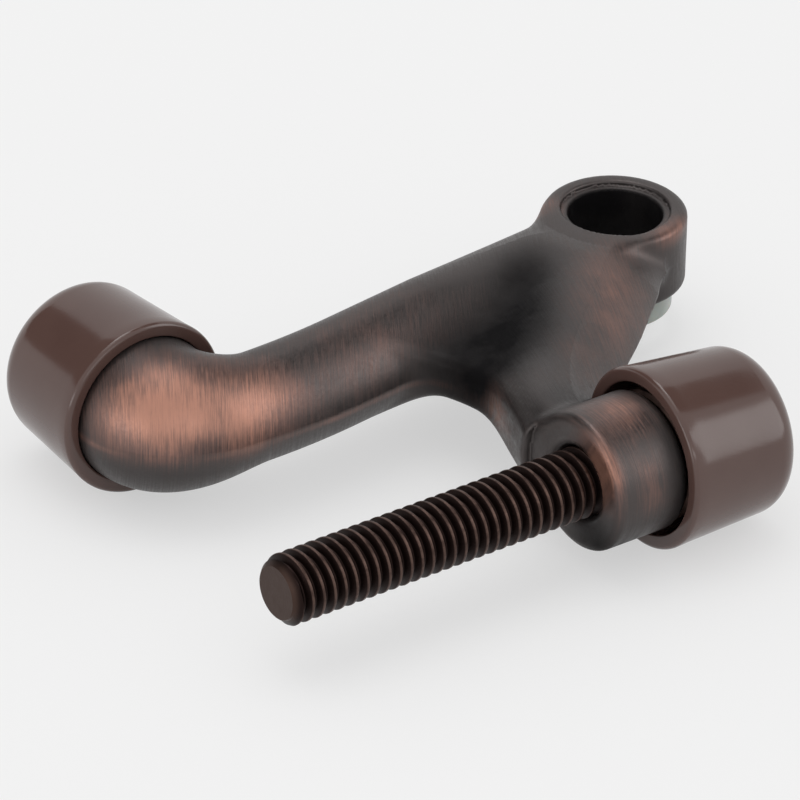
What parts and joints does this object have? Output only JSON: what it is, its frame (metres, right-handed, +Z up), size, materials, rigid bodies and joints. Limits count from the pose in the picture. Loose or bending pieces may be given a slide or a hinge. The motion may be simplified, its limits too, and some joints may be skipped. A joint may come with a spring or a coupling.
{
  "type": "hinge pin door stop",
  "caption": "Cast arm that hangs on a door's hinge pin, with a fixed rubber bumper on one end and a screw-adjusted rubber bumper on the other, to stop the door before the wall.",
  "frame": {"origin": "centre of the hinge pin bore, at half the height of the cast eye", "axes": "+Z up along the hinge pin, +X along the stud towards its rubber cap, +Y the way the fixed rubber cap points"},
  "size_m": [0.0823, 0.0639, 0.0204],
  "materials": {
    "bronze_casting": "dark oil-rubbed bronze, brushed, with copper showing where it is worn",
    "bumper_rubber": "brown, smooth and slightly glossy",
    "stud_metal": "dark bronze plating, lighter on the thread's crests",
    "bushing_plastic": "pale grey-green, slightly see-through"
  },
  "bodies": {
    "stop_body": {"stop_casting": "bronze_casting", "pin_bushing": "bushing_plastic", "fixed_bumper_cap": "bumper_rubber"},
    "bumper_cap": {"adjustable_bumper_cap": "bumper_rubber"},
    "stud": {"bumper_stud": "stud_metal"}
  },
  "joints": [
    {"name": "stud_travel", "type": "slide", "parent": "stop_body", "child": "bumper_cap", "axis": [1, 0, 0], "range_m": [0, 0.02963]},
    {"name": "stud_turn", "type": "hinge", "parent": "bumper_cap", "child": "stud", "pos_m": [-0.03, -0.0389, 0], "axis": [1, 0, 0], "range_deg": [0, 7560]}
  ],
  "couplings": [
    {"joint": "stud_turn", "follows": "stud_travel", "rad_per_m": 4452.6}
  ]
}
